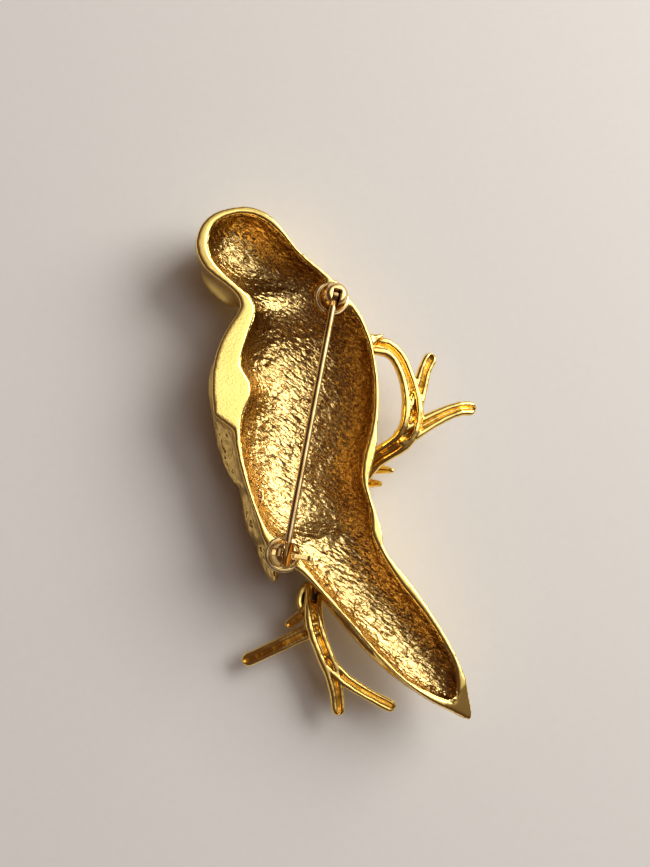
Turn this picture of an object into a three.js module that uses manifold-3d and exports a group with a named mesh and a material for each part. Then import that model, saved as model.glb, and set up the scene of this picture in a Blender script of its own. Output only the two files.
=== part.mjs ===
// Cast costume brooch: a hollow-backed parrot on a grooved branch, with a
// ball-hinged pin stem and a turning safety catch. Millimetres, +Z out of the
// open back, +Y towards the head. The origin is under the middle of the
// brooch, level with its lowest point.
import * as THREE from 'three';
import { mergeVertices } from 'three/addons/utils/BufferGeometryUtils.js';
import Module from 'manifold-3d';

const wasm = await Module();
wasm.setup();

// Overall sizes of the casting.
const castingWidth = 42;
const castingLength = 72;
const castingDepth = 10;

// Findings: the bought-in hinge, pin stem and catch.
const solderGap = 0.03;
const stemDiameter = 1;
const stemAboveRim = 1.8;
const stemPointLength = 3.2;
const stemInset = 0.5;
const patchRadius = 2.2;
const patchThickness = 0.45;
const patchSeatDepth = 0.1;
const patchSeatGap = 0.08;
const landMargin = 0.3;
const landDepth = 2.4;
const bossRadius = 3.1;
const neckRadius = 0.9;
const rivetRadius = 0.35;
const rivetGap = 0.05;
const rivetInset = 0.05;
const hingeEyeWall = 0.5;
const hingeEyeThickness = 0.8;
const hingeSideGap = 0.06;
const hingeCheek = 1.3;
const hingeCrown = 1.45;
const stemPlay = 0.2;
const mouthPlay = 0.12;
const rotorGap = 0.08;
const rotorWall = 0.45;
const rotorOverhang = 0.45;
const catchWall = 0.85;
const leverThickness = 0.6;
const leverWidth = 0.7;
const leverReach = 1.8;
const leverSlotGap = 0.15;
const leverKnobRadius = 0.45;

// Sizes that follow from what has to pass through or around what.
const stemRadius = stemDiameter / 2;
const hingeEyeRadius = rivetRadius + rivetGap + hingeEyeWall;
const hingeSlotHalf = stemRadius + hingeSideGap;
const hingeBallRadius = hingeSlotHalf + hingeCheek;
const rotorBore = stemRadius + stemPlay;
const rotorRadius = rotorBore + rotorWall;
const catchBoreRadius = rotorRadius + rotorGap;
const catchBallRadius = catchBoreRadius + catchWall;
const rotorLength = 2 * (catchBoreRadius + rotorOverhang);
const rotorMouth = stemDiameter + 2 * mouthPlay;

// Stones.
const stoneGap = 0.05;
const eyeStoneRadius = 1.1;
const eyeStoneDepth = 0.8;
const eyeStoneCrown = 0.35;
const leafStoneLength = 4.6;
const leafStoneWidth = 2.3;
const leafStoneDepth = 1.1;
const leafStoneCrown = 0.2;
const settingWall = 0.4;
const settingFloor = 0.9;
const settingLedge = 0.25;

// The plan points below are drawn for a casting of this size, and stretch with it.
const drawnWidth = 42;
const drawnLength = 72;
const drawnDepth = 10;
const wide = (x) => (x * castingWidth) / drawnWidth;
const long = (y) => (y * castingLength) / drawnLength;
const high = (z) => (z * castingDepth) / drawnDepth;
const rim = castingDepth;

// Where the findings stand on the rim, and the direction between them.
const hingeSpot = new THREE.Vector2(wide(1), long(19.4));
const catchSpot = new THREE.Vector2(wide(-5.9), long(-16.9));
const bossSpot = new THREE.Vector2(wide(0.4), long(19.4));
const stemRun = hingeSpot.clone().sub(catchSpot);
const stemTurn = Math.atan2(stemRun.y, stemRun.x) - Math.PI / 2;
const stemLevel = rim + stemAboveRim;

const gold = { color: 0xe3bb55, metalness: 1, roughness: 0.22 };
const paleGold = { color: 0xecd08a, metalness: 1, roughness: 0.18 };
const tealGlass = { color: 0x3f7f86, metalness: 0, roughness: 0.08 };
const darkGlass = { color: 0x1d2b1f, metalness: 0, roughness: 0.08 };

// ---------- Solids ----------

/** A closed three.js geometry as a solid that can be joined and cut. */
function solid(geometry) {
  const bare = geometry.clone();
  bare.deleteAttribute('normal');
  bare.deleteAttribute('uv');
  const merged = mergeVertices(bare, 1e-5);
  return new wasm.Manifold(new wasm.Mesh({
    numProp: 3,
    vertProperties: new Float32Array(merged.attributes.position.array),
    triVerts: new Uint32Array(merged.index.array),
  }));
}

/** A solid back as a three.js geometry. */
function geometryOf(body) {
  const mesh = body.getMesh();
  const geometry = new THREE.BufferGeometry();
  geometry.setAttribute('position', new THREE.BufferAttribute(mesh.vertProperties, 3));
  geometry.setIndex(new THREE.BufferAttribute(mesh.triVerts, 1));
  geometry.computeVertexNormals();
  return geometry;
}

/** A box solid between two corners. */
function block(low, far) {
  const size = far.map((value, axis) => value - low[axis]);
  const geometry = new THREE.BoxGeometry(...size);
  geometry.translate(...low.map((value, axis) => value + size[axis] / 2));
  return solid(geometry);
}

/** A cylinder solid about the Z axis, from one level to another. */
function post(radius, bottom, top, sides = 32) {
  const geometry = new THREE.CylinderGeometry(radius, radius, top - bottom, sides);
  geometry.rotateX(Math.PI / 2);
  geometry.translate(0, 0, (top + bottom) / 2);
  return solid(geometry);
}

/** A cylinder solid about the X or Y axis, centred on the origin. */
function rod(radius, length, axis, sides = 24) {
  const geometry = new THREE.CylinderGeometry(radius, radius, length, sides);
  if (axis === 'x') geometry.rotateZ(Math.PI / 2);
  return solid(geometry);
}

/** A ball solid centred on the origin. */
function ball(radius, sides = 28, layers = 18) {
  const geometry = new THREE.SphereGeometry(radius, sides, layers);
  geometry.rotateX(Math.PI / 2);
  return solid(geometry);
}

/** Closed surface through rings of points, running to a point at both ends. */
function loft(startPoint, rings, endPoint) {
  const count = rings[0].length;
  const points = [startPoint, ...rings.flat(), endPoint];
  const last = points.length - 1;
  const at = (ring, place) => 1 + ring * count + (place % count);
  const faces = [];
  for (let place = 0; place < count; place += 1) {
    faces.push(0, at(0, place + 1), at(0, place));
    faces.push(last, at(rings.length - 1, place), at(rings.length - 1, place + 1));
    for (let ring = 0; ring + 1 < rings.length; ring += 1) {
      faces.push(at(ring, place), at(ring, place + 1), at(ring + 1, place));
      faces.push(at(ring, place + 1), at(ring + 1, place + 1), at(ring + 1, place));
    }
  }
  const geometry = new THREE.BufferGeometry();
  geometry.setAttribute('position',
    new THREE.Float32BufferAttribute(points.flatMap((point) => point.toArray()), 3));
  geometry.setIndex(faces);
  return geometry;
}

/** Smooth values of a table's columns, read between its rows. */
function smoothRows(rows, steps) {
  const columns = rows[0].length;
  const read = (column, place) => {
    const row = Math.min(Math.floor(place), rows.length - 2);
    const part = place - row;
    const before = rows[Math.max(row - 1, 0)][column];
    const from = rows[row][column];
    const to = rows[row + 1][column];
    const after = rows[Math.min(row + 2, rows.length - 1)][column];
    return THREE.MathUtils.clamp(
      0.5 * (2 * from + (to - before) * part
        + (2 * before - 5 * from + 4 * to - after) * part ** 2
        + (3 * from - before - 3 * to + after) * part ** 3),
      Math.min(from, to) - Math.abs(to - from) / 4,
      Math.max(from, to) + Math.abs(to - from) / 4,
    );
  };
  const result = [];
  for (let step = 0; step <= steps; step += 1) {
    const place = (step / steps) * (rows.length - 1);
    result.push(Array.from({ length: columns }, (_, column) => read(column, place)));
  }
  return result;
}

/**
 * A body with a flat top and a rounded underside. Each station is
 * [left x, left y, right x, right y, depth]; the sections between the two
 * edges are superellipses of the given power. The top may climb to topEnd at
 * the last station. A rise adds a sloped shoulder above the edge, drawn in by
 * the inset on both sides.
 */
function dome(stations, options) {
  const { top, topEnd = top, power = 2.4, across = 12, rise = 0, inset = 0 } = options;
  const rows = smoothRows(stations, options.steps ?? (stations.length - 1) * 2);
  const level = (index) => THREE.MathUtils.lerp(top, topEnd, index / (rows.length - 1));
  const sections = rows.slice(1, -1).map(([leftX, leftY, rightX, rightY, depth], index) => {
    const left = new THREE.Vector3(wide(leftX), long(leftY), level(index + 1));
    const right = new THREE.Vector3(wide(rightX), long(rightY), level(index + 1));
    const ring = [];
    for (let place = 0; place <= across; place += 1) {
      const share = (1 - Math.cos((Math.PI * place) / across)) / 2;
      const point = left.clone().lerp(right, share);
      const fullness = (1 - Math.abs(2 * share - 1) ** power) ** (1 / power);
      point.z -= high(depth) * fullness;
      ring.push(point);
    }
    if (rise > 0) {
      const drawnIn = Math.min(inset / left.distanceTo(right), 0.45);
      const lift = new THREE.Vector3(0, 0, rise);
      ring.push(right.clone().lerp(left, drawnIn).add(lift));
      ring.push(left.clone().lerp(right, drawnIn).add(lift));
    }
    return ring;
  });
  const tip = (index) => {
    const [leftX, leftY, rightX, rightY] = rows[index];
    return new THREE.Vector3(wide((leftX + rightX) / 2), long((leftY + rightY) / 2), level(index));
  };
  return solid(loft(tip(0), sections, tip(rows.length - 1)));
}

const roundSides = 8;
const roundSection = Array.from({ length: roundSides }, (_, corner) => {
  const angle = (-corner / roundSides) * 2 * Math.PI;
  return [Math.cos(angle), Math.sin(angle)];
});

// Half-round in front, with two flat-topped ridges and a groove between them on the back.
const ridgeTop = 0.45;
const grooveEdge = 0.38;
const grooveFloor = -0.3;
const sideLevel = -0.15;
const groovedSection = [
  [-1, sideLevel], [-0.95, 0.22], [-0.76, ridgeTop], [-grooveEdge, ridgeTop], [-0.2, grooveFloor],
  [0.2, grooveFloor], [grooveEdge, ridgeTop], [0.76, ridgeTop], [0.95, 0.22], [1, sideLevel],
  [0.8, -0.75], [0.32, -1.1], [-0.32, -1.1], [-0.8, -0.75],
];

// The same outline without its groove, for the room a limb takes in its neighbour.
const filledSection = groovedSection.filter(([across, up]) => (
  Math.abs(across) > grooveEdge || up < sideLevel + grooveFloor));

/** A tapered limb along [x, y, z, half width] points, with rounded ends. */
function limb(points, section, grow = 0) {
  const rows = smoothRows(points, (points.length - 1) * 2);
  const centres = rows.map(([x, y, z]) => new THREE.Vector3(wide(x), long(y), high(z)));
  const tangentAt = (index) => centres[Math.min(index + 1, centres.length - 1)].clone()
    .sub(centres[Math.max(index - 1, 0)]).normalize();
  const ringAt = (centre, tangent, radius) => {
    const side = new THREE.Vector3(tangent.y, -tangent.x, 0).normalize();
    const up = new THREE.Vector3().crossVectors(side, tangent);
    return section.map(([across, lift]) => centre.clone()
      .addScaledVector(side, across * radius).addScaledVector(up, lift * radius));
  };
  const rings = [];
  const radiusAt = (index) => rows[index][3] + grow;
  const roundSteps = [60, 30];
  const startTangent = tangentAt(0);
  const endTangent = tangentAt(centres.length - 1);
  const endIndex = centres.length - 1;
  roundSteps.forEach((degrees) => {
    const angle = THREE.MathUtils.degToRad(degrees);
    const centre = centres[0].clone()
      .addScaledVector(startTangent, -radiusAt(0) * Math.sin(angle));
    rings.push(ringAt(centre, startTangent, radiusAt(0) * Math.cos(angle)));
  });
  centres.forEach((centre, index) => rings.push(ringAt(centre, tangentAt(index), radiusAt(index))));
  roundSteps.slice().reverse().forEach((degrees) => {
    const angle = THREE.MathUtils.degToRad(degrees);
    const centre = centres[endIndex].clone()
      .addScaledVector(endTangent, radiusAt(endIndex) * Math.sin(angle));
    rings.push(ringAt(centre, endTangent, radiusAt(endIndex) * Math.cos(angle)));
  });
  const start = centres[0].clone().addScaledVector(startTangent, -radiusAt(0));
  const end = centres[endIndex].clone().addScaledVector(endTangent, radiusAt(endIndex));
  return solid(loft(start, rings, end));
}

/** A flat plate with the given outline, from one level to another. */
function plate(outline, bottom, top) {
  const shape = new THREE.Shape(outline.map(([x, y]) => new THREE.Vector2(wide(x), long(y))));
  const geometry = new THREE.ExtrudeGeometry(shape, { depth: top - bottom, bevelEnabled: false });
  geometry.translate(0, 0, bottom);
  return solid(geometry);
}

/** Names a mesh and gives it its material. */
function named(name, body, finish) {
  const mesh = new THREE.Mesh(geometryOf(body), new THREE.MeshStandardMaterial(finish));
  mesh.name = name;
  return mesh;
}

// ---------- The branch ----------

const branchStem = [
  [7.6, 13.2, 8.6, 1.4], [9.5, 12.9, 8.6, 1.3], [11.1, 11.7, 8.5, 1.15], [12.3, 9.4, 8.4, 1.15],
  [13.1, 6.7, 8.3, 1.35], [13.4, 3.9, 8.2, 1.6], [13, 1.4, 8, 1.6], [11.8, -0.6, 7.4, 1.5],
  [10, -1.9, 6.6, 1.4], [8.2, -3.2, 5.4, 1.35], [6.4, -6, 3.8, 1.35], [4.4, -10.5, 2.7, 1.35],
  [2.3, -15.5, 2.4, 1.35], [0.5, -20, 2.9, 1.35], [-0.4, -24, 4.2, 1.3], [-0.2, -27, 4.8, 1.3],
  [0.9, -30.2, 4.8, 1.25], [2.2, -33.2, 4.6, 1.15], [3, -36, 4.3, 1], [3.3, -38.3, 4.1, 0.95],
];
const twigs = [
  // Upper twig, beside the loop.
  [[13.8, 4.6, 8, 1.2], [14.6, 7.4, 8.1, 1.05], [15.2, 9.8, 8.3, 0.95], [16, 11.5, 8.4, 1]],
  // Long twig to the right.
  [[12.2, 0.2, 7.6, 1.5], [15.2, 2, 7.9, 1.3], [18.2, 3.6, 8, 1.1], [20.6, 4.5, 8.1, 1],
    [22.2, 4.6, 8, 1]],
  // Low twig to the left.
  [[-0.2, -27.1, 4.6, 1.05], [-2.6, -28.2, 4.2, 1], [-5.5, -29.6, 3.6, 0.95],
    [-8, -30.8, 2.9, 0.95], [-9.3, -31.4, 2.5, 0.95]],
  // Low twig to the right.
  [[1.6, -31.8, 4.7, 1.1], [4.2, -34.3, 4.6, 0.9], [7.2, -36.2, 4.4, 0.85], [10.8, -38.05, 4.2, 0.9]],
  // Short bud above the left twig.
  [[-0.6, -24.2, 4, 0.8], [-2.2, -25.4, 3.6, 0.75], [-3.6, -26.5, 3.2, 0.6]],
];

// Leaf with a marquise stone on the front, seen edge-on from the back.
const leafSpot = [-0.9, -22.8];
const leafTurn = THREE.MathUtils.degToRad(-16);
const leafLevel = high(1.4);

/** The pointed oval of a marquise stone or its setting, grown by a margin. */
function marquise(margin, bottom, top) {
  const halfLength = leafStoneLength / 2 + margin * 1.6;
  const halfWidth = leafStoneWidth / 2 + margin;
  const shape = new THREE.Shape();
  shape.moveTo(0, -halfLength);
  shape.quadraticCurveTo(halfWidth * 2, 0, 0, halfLength);
  shape.quadraticCurveTo(-halfWidth * 2, 0, 0, -halfLength);
  const geometry = new THREE.ExtrudeGeometry(shape,
    { depth: top - bottom, bevelEnabled: false, curveSegments: 10 });
  geometry.translate(0, 0, bottom);
  geometry.rotateZ(leafTurn);
  geometry.translate(wide(leafSpot[0]), long(leafSpot[1]), 0);
  return solid(geometry);
}

// The seam where the branch is soldered to the rim runs slantwise over the joint.
const seamTurn = THREE.MathUtils.degToRad(45);
const seamSpot = [8.1, 13.7];

/** A large block on the bird's side of the seam, set off from it by a gap. */
function birdSide(gap) {
  const reach = 8;
  return block([-reach, -reach, -reach], [-gap, reach, reach * 2])
    .rotate([0, 0, -THREE.MathUtils.radToDeg(seamTurn)])
    .translate([wide(seamSpot[0]), long(seamSpot[1]), 0]);
}

/** The branch's limbs as one solid, grown by a margin on every side. */
function branchLimbs(grow) {
  const section = grow > 0 ? filledSection : groovedSection;
  let body = limb(branchStem, section, grow);
  twigs.forEach((twig) => {
    body = body.add(limb(twig, section, grow));
  });
  const settingTop = leafLevel + leafStoneDepth + settingFloor;
  const setting = marquise(settingWall + grow, leafLevel - grow, settingTop + grow);
  return body.add(setting).subtract(birdSide(grow));
}

/** The branch, with a pocket for the leaf's stone that is open at the back as well. */
function buildBranch() {
  const seat = leafLevel + leafStoneDepth + stoneGap;
  const pocket = marquise(stoneGap, leafLevel - 1, seat);
  const window = marquise(-settingLedge, seat - 0.1, seat + settingFloor);
  return branchLimbs(0).subtract(pocket).subtract(window);
}

// ---------- The bird ----------

// Rim outline by stations from the crown of the head to the tip of the tail:
// left x, left y, right x, right y, and how deep the front is below the rim.
const bodyStations = [
  [-15.1, 31.3, -15.1, 31.3, 0], [-16.4, 30.6, -12.9, 32, 4.2], [-17.5, 29.4, -10.7, 32.2, 6.6],
  [-18.3, 27.8, -8.5, 31.5, 8.2], [-18.5, 26, -6.6, 30, 9], [-18.1, 24.3, -5.3, 28.2, 9.3],
  [-17.1, 22.7, -4.2, 26.7, 9.2], [-15.6, 21.5, -2.9, 25.6, 8.8], [-13.8, 20.3, -1.1, 24.3, 8.2],
  [-12.4, 18.9, 1, 22.6, 7.8], [-12.1, 17.5, 2.8, 20.7, 7.8], [-12.9, 16.1, 4.1, 19.2, 8],
  [-13.9, 14.5, 5.4, 17.5, 8.4], [-14.9, 12.5, 6.4, 15.1, 8.8], [-15.8, 9.7, 7.2, 12.4, 9],
  [-16, 6.6, 7.8, 9.4, 9.1], [-15.9, 3.6, 8.1, 6.3, 9.1], [-15.5, 1.6, 8.05, 4.4, 9.1],
  [-13.1, 0.5, 8, 3.2, 9], [-12.8, -1.6, 7.8, 1.2, 8.9], [-12, -5.2, 7.65, -1.8, 8.7],
  [-10.9, -8.4, 6.8, -4.8, 8.4], [-9.9, -11.2, 6.35, -7, 8.1], [-9.2, -13.5, 7, -9.5, 7.9],
  [-8.4, -15.6, 8, -12, 7.7], [-6.6, -17.3, 8.45, -13.9, 7.4], [-4.2, -18.7, 8.6, -15.7, 7.1],
  [-2, -20.6, 9.7, -17.4, 6.8], [0.3, -22.9, 11.4, -19.3, 6.5], [2.6, -25.2, 13.1, -21.4, 6.2],
  [5, -27.8, 14.8, -23.8, 5.9], [7.3, -30.4, 16.6, -26.5, 5.6], [9.6, -32.8, 18, -28.8, 5.3],
  [12, -35, 19.2, -31.1, 4.9], [14.6, -36.8, 20.2, -33.4, 4.4], [17.2, -38.2, 20.9, -35.9, 3.8],
  [19.2, -39.1, 21.5, -38, 3.2], [20.7, -39.9, 21.9, -39.3, 2.7], [21.6, -40.2, 21.6, -40.2, 0],
];

// The hollow in the back, by stations of its own, with the depth of its floor.
const hollowStations = [
  [-14.4, 30.3, -14.4, 30.3, 0], [-15.5, 29.6, -12.2, 31, 3], [-16.2, 28.7, -9.9, 30.8, 4.6],
  [-16.6, 27.7, -8, 29.8, 5.4], [-16.8, 26.4, -6.4, 28.4, 5.8], [-16.6, 25.1, -5, 27, 6],
  [-16, 24, -3.8, 25.5, 6], [-15.1, 22.9, -2.5, 24.3, 5.8], [-14, 21.9, -0.9, 23.1, 5.2],
  [-12.7, 20.8, 0.8, 21.5, 4.3], [-11.5, 19.8, 2.2, 20.1, 3.7], [-10.5, 18.8, 3.4, 18.8, 3.6],
  [-10, 17.5, 4.4, 17.4, 4], [-10.2, 16.1, 5.2, 16.2, 5], [-10.8, 14.2, 5.9, 14.7, 6.2],
  [-11.4, 12.3, 6.5, 12.9, 6.9], [-11.9, 10.6, 6.9, 11, 7.1], [-12, 9.2, 7.1, 9.2, 7.2],
  [-11.1, 7.8, 7.25, 7.8, 7.2], [-10.4, 6.6, 7.3, 6.4, 7.2], [-10.4, 5.4, 7.25, 4.8, 7.2],
  [-10.9, 4, 7.1, 3.3, 7.1], [-11.6, 2.5, 6.9, 1.7, 7.1], [-11.9, 0.6, 6.5, -0.1, 7],
  [-11.8, -1.6, 5.9, -2, 6.9], [-11.4, -3.9, 5.5, -4, 6.7], [-10.8, -6.4, 5.3, -6, 6.5],
  [-10.1, -8.9, 5.8, -8.1, 6.3], [-9.2, -11.2, 6.5, -10, 6], [-8.1, -13.4, 6.7, -12.2, 5.2],
  [-6.5, -15.2, 6.7, -13.9, 3.8], [-4.7, -16.7, 7.6, -15.6, 3.6], [-2.9, -18.4, 8.9, -17.9, 4],
  [-1, -20.6, 10.6, -20.5, 4.3], [0.9, -22.9, 12.2, -22.4, 4.4], [2.9, -25.1, 13.8, -24.3, 4.3],
  [5, -27.4, 15.3, -26.3, 4.1], [7.2, -30, 16.7, -28.5, 3.8], [9.7, -32.4, 17.9, -30.4, 3.4],
  [12.3, -34.5, 18.7, -32.1, 3], [14.9, -36, 19.1, -34, 2.4], [17.3, -37, 19.1, -35.8, 1.7],
  [18.8, -37.3, 18.8, -37.3, 0],
];

// The wing's three overlapping feather tiers, standing proud of the front.
const wingTiers = [
  [[-13.5, 14, -13.5, 14, 0], [-15.6, 10, -7.6, 13, 3.4], [-16, 6, -3.6, 9, 4.4],
    [-15.3, 2, -2, 5, 4.6], [-14.6, -1.6, -1.8, 1, 4.4], [-13.2, -5.2, -3, -3, 3.8],
    [-11.7, -7.4, -6, -6.4, 2.6], [-9.4, -9, -9.4, -9, 0]],
  [[-10, 4, -10, 4, 0], [-12.4, 1, -4, 1.6, 3.6], [-12.2, -4, -2.4, -3, 3.9],
    [-11.2, -8.2, -2.6, -7.4, 3.6], [-10.6, -11.4, -4, -11, 3],
    [-9.9, -14, -6.4, -13.8, 2], [-8.2, -15.6, -8.2, -15.6, 0]],
  [[-8, -4, -8, -4, 0], [-9.6, -8, -3, -7.6, 3], [-9.4, -12, -2.8, -11.6, 3],
    [-8.8, -15.4, -3.4, -15, 2.7], [-8, -18, -4.4, -17.8, 2.2], [-6.9, -20.2, -5.2, -20, 1.2],
    [-6, -21.1, -6, -21.1, 0]],
];
const wingTierTops = [5.2, 4.4, 3.9];
const wingShoulder = 3.6;
const wingShoulderInset = 2.6;

// Three long tail feathers on the front.
const tailFeathers = [
  [[-1, -15, -1, -15, 0], [-2.2, -18.8, 2.4, -16.8, 2], [2.6, -25.8, 6.2, -23, 2],
    [9.2, -32.8, 12.4, -30, 1.8], [15, -37, 17, -35, 1.4], [19, -38.7, 19, -38.7, 0]],
  [[3, -12, 3, -12, 0], [2, -16, 6, -14.4, 2.2], [6, -23.4, 10, -21, 2.2],
    [11.8, -30, 14.8, -27.6, 1.9], [16.4, -35.4, 18.6, -33.6, 1.5], [20.4, -38.6, 20.4, -38.6, 0]],
  [[7, -12, 7, -12, 0], [5.6, -14.8, 8.6, -14, 1.8], [9.4, -21.6, 12.8, -21.2, 2],
    [14.2, -28, 17, -27, 1.8], [17.8, -33.6, 19.6, -32.6, 1.3], [20.4, -36.6, 20.4, -36.6, 0]],
];
const tailFeatherTops = [4.5, 4.2, 4.6];
const tailFeatherClimb = 2.8;

// The cheek, the upper mandible and the lower one.
const beakLimbs = [
  [[-15.8, 25, 5.6, 2], [-14.3, 22.8, 5.7, 1.9], [-13, 20.9, 5.9, 1.3], [-12.3, 19.9, 6.1, 0.9]],
  [[-15.4, 24, 4.3, 2], [-15, 22.6, 4.2, 1.9], [-13.8, 20.9, 4.2, 1.5], [-12.9, 19.8, 4.4, 1.2],
    [-12, 19.3, 4.8, 0.8]],
  [[-12.4, 22, 3.4, 1.6], [-12.4, 20.8, 3.1, 1.2], [-12, 19.9, 3.1, 0.8]],
];
const toeLimbs = [
  [[1, -3.4, 2.2, 1], [4.4, -3.6, 1.9, 0.95], [7.6, -3.9, 2, 0.95], [10.2, -4.1, 3, 0.9],
    [11.4, -4.4, 4.2, 0.75]],
  [[0, -5.8, 2.2, 1], [3.2, -6, 1.3, 0.95], [6.4, -6.1, 1.2, 0.9], [8.8, -6.1, 2.2, 0.85],
    [9.9, -6.3, 3.6, 0.7]],
  [[-1.4, -8.6, 2.2, 1], [1.8, -8.8, 1.1, 0.9], [4.8, -8.9, 0.8, 0.85], [7, -8.9, 1.6, 0.75],
    [8, -9, 2.8, 0.6]],
];

const eyeSpot = [-12.6, 26.4];
const eyeLevel = high(0.9);
const tipBevelSpot = [18.2, -36.5];
const tipBevelAngle = 18;
const tipBevelTurn = 42;
const seamTab = [[5.8, 15.6], [6.9, 14.7], [9.3, 14.9], [7.3, 12.9], [6.3, 12.4]];

/** A round of solid ground at the height of the rim, for a finding to stand on. */
function land(spot, radius) {
  return post(radius, rim - landDepth, rim, 32).translate([spot.x, spot.y, 0]);
}

/** The shallow round seat that a finding's patch is soldered into. */
function patchSeat(spot) {
  return post(patchRadius + patchSeatGap, rim - patchSeatDepth, rim + 1, 36)
    .translate([spot.x, spot.y, 0]);
}

/** The block that bevels the back of the tail's tip. */
function tipBevel() {
  return block([-6, -8, 0], [6, 8, 5])
    .translate([0, -8, 0])
    .rotate([tipBevelAngle, 0, 0])
    .rotate([0, 0, tipBevelTurn])
    .translate([wide(tipBevelSpot[0]), long(tipBevelSpot[1]), rim]);
}

function buildBird() {
  let body = dome(bodyStations, { top: rim, power: 2.5, across: 16, steps: 50 });
  wingTiers.forEach((tier, index) => {
    const shoulder = index === 0 ? wingShoulder : wingShoulder - 0.6 * index;
    body = body.add(dome(tier, {
      top: high(wingTierTops[index]), across: 12, rise: high(shoulder), inset: wingShoulderInset,
    }));
  });
  tailFeathers.forEach((feather, index) => {
    const top = tailFeatherTops[index];
    body = body.add(dome(feather, {
      top: high(top), topEnd: high(top + tailFeatherClimb), across: 8,
    }));
  });
  beakLimbs.forEach((beak) => {
    body = body.add(limb(beak, roundSection));
  });
  body = body.add(plate(seamTab, rim - high(3.4), rim - high(0.4)));
  body = body.add(land(bossSpot, bossRadius));
  const hollow = dome(hollowStations, { top: rim, power: 2.1, across: 14, steps: 52, rise: 1 });
  body = body.subtract(hollow);
  [hingeSpot, catchSpot].forEach((spot) => {
    body = body.add(land(spot, patchRadius + landMargin)).subtract(patchSeat(spot));
  });
  body = body.subtract(tipBevel());
  toeLimbs.forEach((toe) => {
    body = body.add(limb(toe, roundSection));
  });
  const bezel = post(eyeStoneRadius + settingWall, eyeLevel, high(3))
    .translate([wide(eyeSpot[0]), long(eyeSpot[1]), 0]);
  const socket = post(eyeStoneRadius + stoneGap, eyeLevel - 1, eyeLevel + eyeStoneDepth)
    .translate([wide(eyeSpot[0]), long(eyeSpot[1]), 0]);
  return body.add(bezel).subtract(socket).subtract(branchLimbs(solderGap));
}

// ---------- Stones ----------

function buildEyeStone() {
  const back = eyeStoneDepth - stoneGap;
  const profile = [[0, -eyeStoneCrown], [eyeStoneRadius * 0.6, -eyeStoneCrown * 0.6],
    [eyeStoneRadius, eyeStoneCrown * 0.4], [eyeStoneRadius, back], [0, back]];
  const geometry = new THREE.LatheGeometry(profile.map(([x, y]) => new THREE.Vector2(x, y)), 24);
  geometry.rotateX(Math.PI / 2);
  geometry.translate(wide(eyeSpot[0]), long(eyeSpot[1]), eyeLevel);
  return solid(geometry);
}

function buildLeafStone() {
  return marquise(0, leafLevel - leafStoneCrown, leafLevel + leafStoneDepth);
}

// ---------- Hinge ----------

const patchTop = rim - patchSeatDepth + solderGap + patchThickness;
const ballDrop = stemLevel - patchTop - solderGap;

function patch() {
  return post(patchRadius, patchTop - patchThickness, patchTop, 36);
}

/** A ball that stands on a patch, centred on the stem's line. */
function standingBall(radius) {
  const reach = radius * 2;
  return ball(radius)
    .subtract(block([-reach, -reach, -reach], [reach, reach, -ballDrop]))
    .add(post(neckRadius, -ballDrop, -ballDrop / 2, 24));
}

/**
 * The slotted ball with its flattened crown, in its own frame: X along the rivet, Y along
 * the stem. The slot has a round room for the eye, and lets the stem swing to upright.
 */
function buildKnuckle() {
  const eyeRoom = hingeEyeRadius + hingeSideGap;
  const reach = hingeBallRadius * 2;
  return standingBall(hingeBallRadius)
    .subtract(block([-hingeSlotHalf, -reach, -eyeRoom], [hingeSlotHalf, 0, reach]))
    .subtract(block([-hingeSlotHalf, 0, 0], [hingeSlotHalf, hingeSlotHalf, reach]))
    .subtract(rod(eyeRoom, hingeSlotHalf * 2, 'x', 32))
    .subtract(block([-reach, -reach, hingeCrown], [reach, reach, reach]))
    .subtract(rod(rivetRadius + rivetGap, reach * 2, 'x'));
}

function buildRivet() {
  return rod(rivetRadius, (hingeBallRadius - rivetInset) * 2, 'x');
}

/** The stem with its flat eye, lying along -Y from the rivet. */
function buildStem() {
  const length = stemRun.length() + catchBallRadius - stemInset;
  const profile = [[0, 0], [stemRadius, 0], [stemRadius, length - stemPointLength],
    [stemRadius * 0.75, length - stemPointLength * 0.5], [stemRadius * 0.2, length], [0, length]];
  const wire = new THREE.LatheGeometry(profile.map(([x, y]) => new THREE.Vector2(x, y)), 16);
  wire.rotateX(Math.PI);
  return rod(hingeEyeRadius, hingeEyeThickness, 'x', 32)
    .add(solid(wire))
    .subtract(rod(rivetRadius + rivetGap, hingeEyeThickness * 3, 'x'));
}

// ---------- Catch ----------

/** The ball housing, bored along the stem, with a mouth above and a lever slot. */
function buildHousing() {
  const reach = catchBallRadius * 2;
  const mouthHalf = rotorMouth / 2;
  const leverHalf = leverWidth / 2 + leverSlotGap;
  return standingBall(catchBallRadius)
    .subtract(rod(catchBoreRadius, reach * 2, 'y', 32))
    .subtract(block([-mouthHalf, -reach, 0], [mouthHalf, reach, reach]))
    .subtract(block([-reach, -leverHalf, -leverThickness / 2 - leverSlotGap],
      [reach, leverHalf, reach]));
}

/** The rotor, open upwards, with its lever pointing along +X. */
function buildRotor() {
  const mouthHalf = rotorMouth / 2;
  const knobAt = catchBallRadius + leverReach - leverKnobRadius;
  const tube = rod(rotorRadius, rotorLength, 'y', 32);
  const lever = block([rotorBore, -leverWidth / 2, -leverThickness / 2],
    [knobAt, leverWidth / 2, leverThickness / 2]);
  const knob = rod(leverKnobRadius, leverWidth, 'y', 20).translate([knobAt, 0, 0]);
  return tube.add(lever).add(knob)
    .subtract(rod(rotorBore, rotorLength * 2, 'y', 32))
    .subtract(block([-mouthHalf, -rotorLength, 0], [mouthHalf, rotorLength, rotorRadius * 2]));
}

// ---------- Assembly ----------

/** Stands a finding on its spot, turned to face along the stem. */
function standAt(mesh, spot, level) {
  mesh.position.set(spot.x, spot.y, level);
  mesh.rotation.z = stemTurn;
  return mesh;
}

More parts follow.
